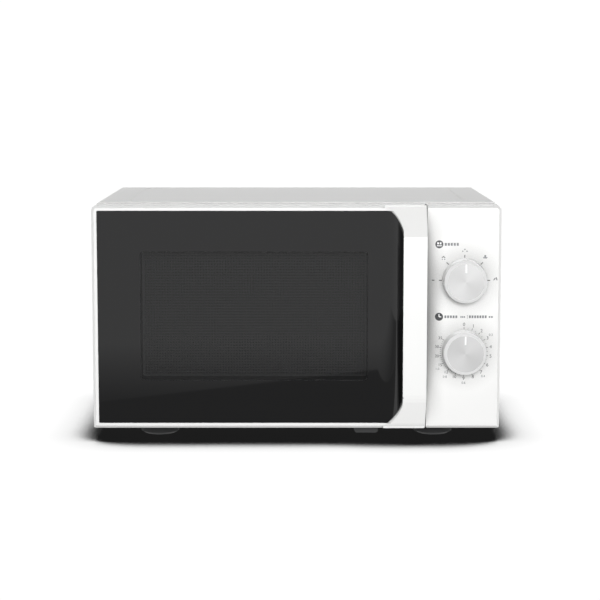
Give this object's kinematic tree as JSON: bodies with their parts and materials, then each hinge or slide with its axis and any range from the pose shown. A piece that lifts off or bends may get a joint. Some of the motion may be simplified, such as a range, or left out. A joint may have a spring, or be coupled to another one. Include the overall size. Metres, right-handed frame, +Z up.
{
  "type": "microwave oven",
  "caption": "Countertop microwave oven with a side-hinged windowed door, an upright bar handle, two rotary knobs and a glass turntable.",
  "frame": {"origin": "on the table, under the middle of the oven's overall box", "axes": "+Z up, -Y out of the front (door and control panel), +X to the right as seen from the front"},
  "size_m": [0.4396, 0.338, 0.2582],
  "materials": {
    "white_gloss": "moulded gloss",
    "white_paint": "satin",
    "cavity_enamel": "semi gloss",
    "zinc_steel": "galvanised",
    "black_gloss": "polished",
    "screen_paint": "satin",
    "dark_plastic": "fine texture",
    "clear_film": "clear",
    "foot_rubber": "matte",
    "knob_white": "satin",
    "spun_metal": "spun",
    "bright_steel": "plain",
    "natural_plastic": "plain",
    "red_plastic": "plain",
    "fin_aluminium": "mill",
    "ceramic_pink": "glazed",
    "mica": "mica sheet",
    "copper_coil": "varnished",
    "black_plastic": "plain",
    "grey_plastic": "plain",
    "circuit_board": "laminate"
  },
  "bodies": {
    "chassis": {"outer_cover": "white_paint", "front_plate": "cavity_enamel", "cavity_shell": "cavity_enamel", "back_plate": "zinc_steel", "base_plate": "zinc_steel", "front_feet": "foot_rubber", "rear_feet": "foot_rubber", "control_panel": "white_gloss", "upper_hinge": "zinc_steel", "lower_hinge": "zinc_steel", "power_selector": "natural_plastic", "timer_unit": "natural_plastic", "timer_bell": "bright_steel", "interlock_board": "natural_plastic", "door_switches": "dark_plastic", "magnetron_yoke": "zinc_steel", "magnetron_fins": "fin_aluminium", "magnetron_antenna": "ceramic_pink", "waveguide": "zinc_steel", "waveguide_cover": "mica", "transformer_core": "dark_plastic", "transformer_windings": "copper_coil", "capacitor": "fin_aluminium", "capacitor_clamp": "zinc_steel", "diode": "black_plastic", "fan_shroud": "natural_plastic", "fan_motor": "dark_plastic", "air_duct": "grey_plastic", "turntable_motor": "bright_steel", "cavity_lamp": "clear_film", "lamp_holder": "natural_plastic", "thermal_cutouts": "ceramic_pink", "filter_board": "circuit_board", "wiring": "red_plastic", "cord_gland": "foot_rubber", "screws": "bright_steel"},
    "door": {"door_frame": "white_gloss", "door_panel": "black_gloss", "door_inner_plate": "screen_paint", "door_screen": "screen_paint", "choke_cover": "dark_plastic", "inner_film": "clear_film", "latch_spring": "bright_steel"},
    "latch": {"latch_hooks": "natural_plastic"},
    "power_control": {"power_knob": "knob_white", "power_knob_cap": "spun_metal", "power_shaft": "bright_steel"},
    "timer_control": {"timer_knob": "knob_white", "timer_knob_cap": "spun_metal", "timer_shaft": "bright_steel"},
    "turntable": {"turntable_glass": "clear_film", "drive_coupler": "natural_plastic"},
    "ring": {"roller_ring": "natural_plastic"},
    "wheel_a": {"roller_a": "natural_plastic"},
    "wheel_b": {"roller_b": "natural_plastic"},
    "wheel_c": {"roller_c": "natural_plastic"},
    "fan": {"fan_blade": "grey_plastic"},
    "upper_switch": {"upper_plunger": "red_plastic"},
    "middle_switch": {"middle_plunger": "red_plastic"},
    "lower_switch": {"lower_plunger": "red_plastic"}
  },
  "joints": [
    {"name": "door_hinge", "type": "hinge", "parent": "chassis", "child": "door", "pos_m": [-0.21075, -0.1225, 0.136], "axis": [0, 0, -1], "range_deg": [0, 100]},
    {"name": "latch_lift", "type": "slide", "parent": "door", "child": "latch", "axis": [0, 0, 1], "range_m": [0, 0.004], "stiffness_N_per_m": 400, "springref_m": -0.002, "deforming": ["latch_spring"]},
    {"name": "power_turn", "type": "hinge", "parent": "chassis", "child": "power_control", "pos_m": [0.18055, -0.149, 0.1766], "axis": [0, 1, 0], "range_deg": [-90, 90]},
    {"name": "timer_turn", "type": "hinge", "parent": "chassis", "child": "timer_control", "pos_m": [0.18055, -0.149, 0.0994], "axis": [0, 1, 0], "range_deg": [0, 300]},
    {"name": "turntable_spin", "type": "hinge", "parent": "chassis", "child": "turntable", "pos_m": [-0.0448, 0.0237, 0.0437], "axis": [0, 0, 1], "continuous": true},
    {"name": "ring_spin", "type": "hinge", "parent": "chassis", "child": "ring", "pos_m": [-0.0448, 0.0237, 0.051], "axis": [0, 0, 1], "continuous": true},
    {"name": "wheel_a_spin", "type": "hinge", "parent": "ring", "child": "wheel_a", "pos_m": [-0.0448, 0.1117, 0.051], "axis": [0, 1, 0], "continuous": true},
    {"name": "wheel_b_spin", "type": "hinge", "parent": "ring", "child": "wheel_b", "pos_m": [-0.12101, -0.0203, 0.051], "axis": [-0.866, -0.5, 0], "continuous": true},
    {"name": "wheel_c_spin", "type": "hinge", "parent": "ring", "child": "wheel_c", "pos_m": [0.03141, -0.0203, 0.051], "axis": [0.866, -0.5, 0], "continuous": true},
    {"name": "fan_spin", "type": "hinge", "parent": "chassis", "child": "fan", "pos_m": [0.16465, 0.14, 0.1962], "axis": [0, 1, 0], "continuous": true},
    {"name": "upper_switch_press", "type": "slide", "parent": "chassis", "child": "upper_switch", "axis": [0, 1, 0], "range_m": [0, 0.0015], "stiffness_N_per_m": 300, "springref_m": -0.001},
    {"name": "middle_switch_press", "type": "slide", "parent": "chassis", "child": "middle_switch", "axis": [0, 1, 0], "range_m": [0, 0.0015], "stiffness_N_per_m": 300, "springref_m": -0.001},
    {"name": "lower_switch_press", "type": "slide", "parent": "chassis", "child": "lower_switch", "axis": [0, 1, 0], "range_m": [0, 0.0015], "stiffness_N_per_m": 300, "springref_m": -0.001}
  ],
  "couplings": [
    {"joint": "ring_spin", "follows": "turntable_spin", "ratio": 0.5},
    {"joint": "wheel_a_spin", "follows": "turntable_spin", "ratio": -6.2857},
    {"joint": "wheel_b_spin", "follows": "turntable_spin", "ratio": -6.2857},
    {"joint": "wheel_c_spin", "follows": "turntable_spin", "ratio": -6.2857}
  ]
}
